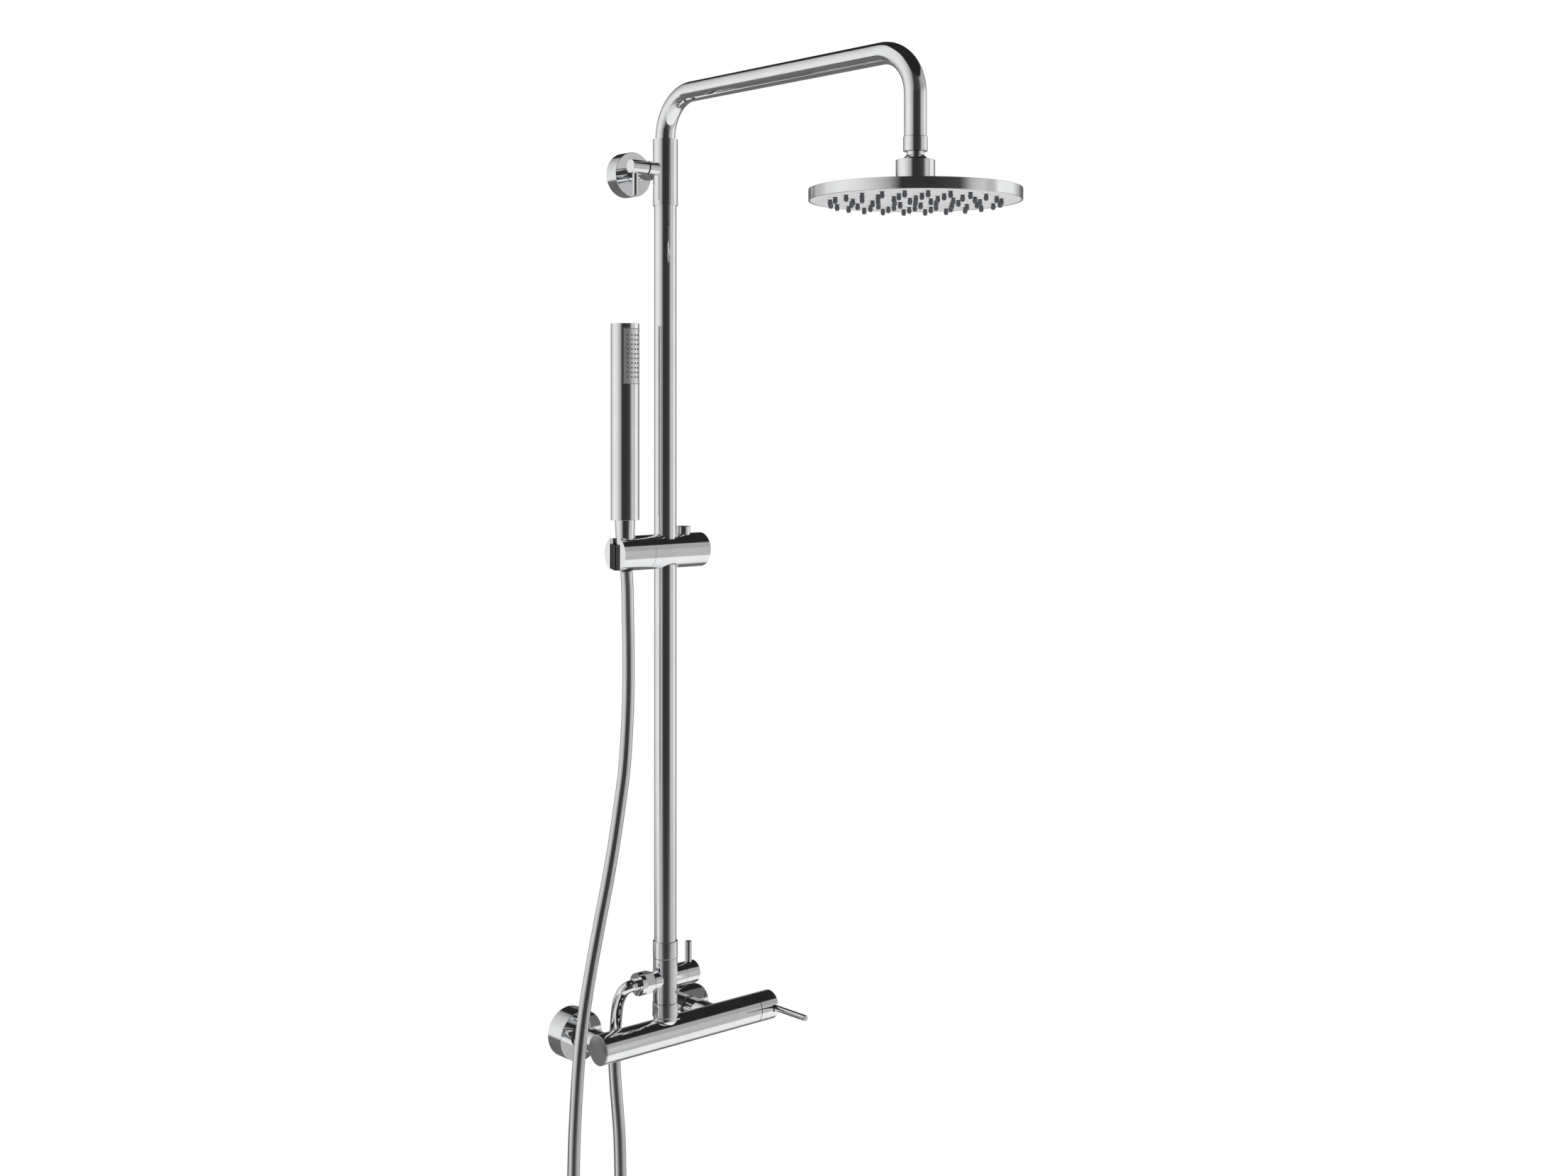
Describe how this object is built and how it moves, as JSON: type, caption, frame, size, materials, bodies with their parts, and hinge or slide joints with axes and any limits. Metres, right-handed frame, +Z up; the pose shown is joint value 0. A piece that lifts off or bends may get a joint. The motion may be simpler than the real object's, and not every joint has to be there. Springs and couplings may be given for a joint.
{
  "type": "rainfall shower column",
  "caption": "Wall-mounted shower column: bar mixer, diverter, telescopic column, swivel arm with round rain head, and hand shower on a sliding cradle with hose.",
  "frame": {"origin": "on the wall plane, midway between the two water inlets, at the height of the mixer bar's axis", "axes": "+X to the right of a person facing the wall, +Y into the wall, +Z up"},
  "size_m": [0.3113, 0.551, 1.4706],
  "materials": {
    "chrome": "polished chrome plate",
    "brass": "raw brass",
    "steel": "plain steel",
    "black_rubber": "matt black",
    "black_plastic": "satin black",
    "white_plastic": "satin light grey",
    "satin_plate": "satin light metal",
    "grey_silicone": "matt dark grey silicone",
    "silver_hose": "smooth silver sheath"
  },
  "bodies": {
    "frame": {"bar_body": "chrome", "bar_end_cap": "chrome", "mixer_cartridge": "white_plastic", "handle_seal_ring": "black_rubber", "left_rosette": "chrome", "left_eccentric": "brass", "left_union_seal": "black_rubber", "left_union_nut": "chrome", "left_filter_washer": "black_rubber", "right_rosette": "chrome", "right_eccentric": "brass", "right_union_seal": "black_rubber", "right_union_nut": "chrome", "right_filter_washer": "black_rubber", "lower_ring_nut": "chrome", "diverter_body": "chrome", "column_o_ring": "black_rubber", "diverter_cartridge": "white_plastic", "upper_ring_nut": "chrome", "column_tube": "chrome", "outlet_seal": "black_rubber", "outlet_union_nut": "chrome", "outlet_ferrule": "chrome", "outlet_pipe": "chrome", "hose_end_nut": "chrome", "shower_hose": "silver_hose", "upper_collar": "chrome", "collar_guide_bush": "black_plastic", "height_lock_seal": "black_rubber", "upper_bracket_arm": "chrome", "upper_rosette": "chrome", "upper_wall_plate": "steel"},
    "mixer_handle": {"mixer_handle": "chrome", "cartridge_spindle": "steel", "lever_pivot_pin": "steel"},
    "mixer_lever": {"mixer_lever": "chrome"},
    "diverter_knob": {"diverter_knob": "chrome", "diverter_knob_pin": "chrome", "diverter_spindle": "steel"},
    "height_lock": {"height_lock_knob": "chrome", "height_lock_pin": "chrome"},
    "arm_carrier": {"arm_seal_carrier": "black_plastic"},
    "shower_arm": {"shower_arm": "chrome", "arm_end_nut": "chrome", "ball_stud": "chrome"},
    "ball_ring": {"ball_friction_ring": "black_plastic"},
    "rain_head": {"swivel_collar": "chrome", "rain_head_shell": "chrome", "rain_face_plate": "satin_plate", "rain_nozzle_mat": "grey_silicone"},
    "slider": {"slider_body": "chrome", "slider_bush": "black_plastic", "lock_spring": "steel"},
    "lock_button": {"lock_button": "chrome"},
    "cradle": {"handset_cradle": "chrome", "cradle_liner": "black_plastic", "cradle_pivot_screw": "steel"},
    "handset": {"handset_shell": "chrome", "handset_spray_panel": "white_plastic", "hose_cone_nut": "chrome"}
  },
  "joints": [
    {"name": "mixer_handle_turn", "type": "hinge", "parent": "frame", "child": "mixer_handle", "pos_m": [0.1375, -0.074, 0], "axis": [1, 0, 0], "range_deg": [-45, 45]},
    {"name": "mixer_lever_tilt", "type": "hinge", "parent": "mixer_handle", "child": "mixer_lever", "pos_m": [0.1415, -0.074, 0], "axis": [0, 0, 1], "range_deg": [0, 16]},
    {"name": "diverter_turn", "type": "hinge", "parent": "frame", "child": "diverter_knob", "pos_m": [0.03, -0.074, 0.059], "axis": [1, 0, 0], "range_deg": [-90, 90]},
    {"name": "height_lock_turn", "type": "hinge", "parent": "frame", "child": "height_lock", "pos_m": [-0.037, -0.074, 0.932], "axis": [1, 0, 0], "range_deg": [-90, 90]},
    {"name": "arm_height", "type": "slide", "parent": "frame", "child": "arm_carrier", "axis": [0, 0, 1], "range_m": [0, 0.2]},
    {"name": "arm_swivel", "type": "hinge", "parent": "arm_carrier", "child": "shower_arm", "pos_m": [0, -0.074, 0.65], "axis": [0, 0, 1], "range_deg": [-75, 75]},
    {"name": "head_tilt_front", "type": "hinge", "parent": "shower_arm", "child": "ball_ring", "pos_m": [0, -0.451, 0.8984], "axis": [1, 0, 0], "range_deg": [-15, 15]},
    {"name": "head_tilt_side", "type": "hinge", "parent": "ball_ring", "child": "rain_head", "pos_m": [0, -0.451, 0.8984], "axis": [0, 1, 0], "range_deg": [-15, 15]},
    {"name": "slider_height", "type": "slide", "parent": "frame", "child": "slider", "axis": [0, 0, 1], "range_m": [-0.28, 0.12], "deforming": ["shower_hose"]},
    {"name": "lock_button_press", "type": "slide", "parent": "slider", "child": "lock_button", "axis": [0, 0, -1], "range_m": [0, 0.002], "stiffness_N_per_m": 600, "springref_m": -0.003},
    {"name": "cradle_tilt", "type": "hinge", "parent": "slider", "child": "cradle", "pos_m": [-0.041, -0.074, 0.52], "axis": [1, 0, 0], "range_deg": [-10, 60], "deforming": ["shower_hose"]},
    {"name": "handset_lift", "type": "slide", "parent": "cradle", "child": "handset", "axis": [0, 0, 1], "range_m": [0, 0.045], "deforming": ["shower_hose"]}
  ]
}
